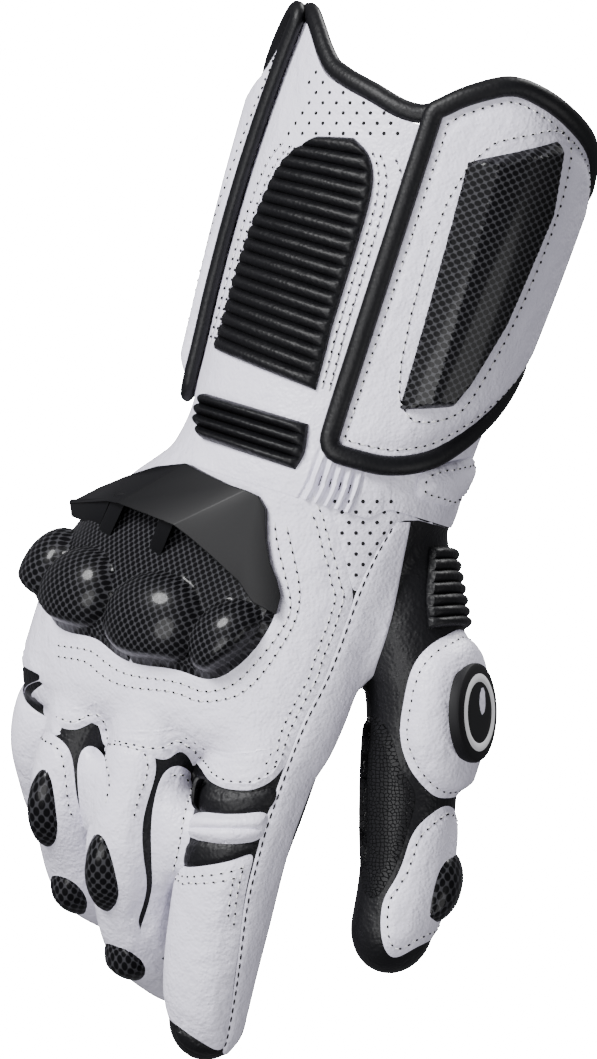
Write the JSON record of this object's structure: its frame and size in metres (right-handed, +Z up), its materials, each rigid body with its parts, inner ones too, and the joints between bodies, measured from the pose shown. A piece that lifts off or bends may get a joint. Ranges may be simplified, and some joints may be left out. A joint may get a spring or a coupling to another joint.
{
  "type": "leather motorcycle racing glove",
  "caption": "Right-hand long gauntlet leather racing glove, hollow, with moulded knuckle and finger armour, ribbed stretch panels and padded cuff flaps, held as if on a wrist.",
  "frame": {"origin": "middle of the wrist's narrowest section, where the forearm holds the glove", "axes": "+Z up the forearm towards the cuff's mouth, fingers down; -Y the back of the hand, +Y the palm; +X the thumb's side"},
  "size_m": [0.1484, 0.0853, 0.2868],
  "materials": {
    "white_leather": "fine-grained semi-matt",
    "black_leather": "fine-grained semi-matt",
    "stretch_leather": "ribbed, grained",
    "carbon_moulding": "clear-coated woven look",
    "matt_plastic": "satin moulded"
  },
  "bodies": {
    "root": {"hand_back": "white_leather", "palm": "black_leather", "index_finger_back": "white_leather", "index_finger_front": "black_leather", "middle_finger_back": "white_leather", "middle_finger_front": "black_leather", "ring_finger_back": "white_leather", "ring_finger_front": "black_leather", "little_finger_back": "white_leather", "little_finger_front": "black_leather", "thumb_sleeve": "black_leather", "cuff_body": "white_leather", "cuff_rim_binding": "black_leather", "thumb_side_flap": "white_leather", "thumb_side_flap_binding": "black_leather", "little_side_flap": "white_leather", "little_side_flap_binding": "black_leather", "thumb_side_protector": "carbon_moulding", "little_side_protector": "carbon_moulding", "cuff_rib_panel": "stretch_leather", "wrist_rib_panel": "stretch_leather", "wrist_strap": "white_leather", "knuckle_guard": "carbon_moulding", "knuckle_bridge": "matt_plastic", "side_panel": "white_leather", "wrist_side_panel": "white_leather", "ring_upper_cap": "carbon_moulding", "ring_lower_cap": "carbon_moulding", "middle_upper_cap": "carbon_moulding", "middle_lower_cap": "carbon_moulding", "index_stretch_panel": "stretch_leather", "index_side_panel": "white_leather", "index_tip_patch": "black_leather", "middle_stretch_panel": "stretch_leather", "thumb_rib_panel": "stretch_leather", "thumb_knuckle_pad": "white_leather", "thumb_tip_panel": "white_leather", "thumb_badge": "matt_plastic", "thumb_tip_cap": "carbon_moulding"}
  },
  "joints": []
}
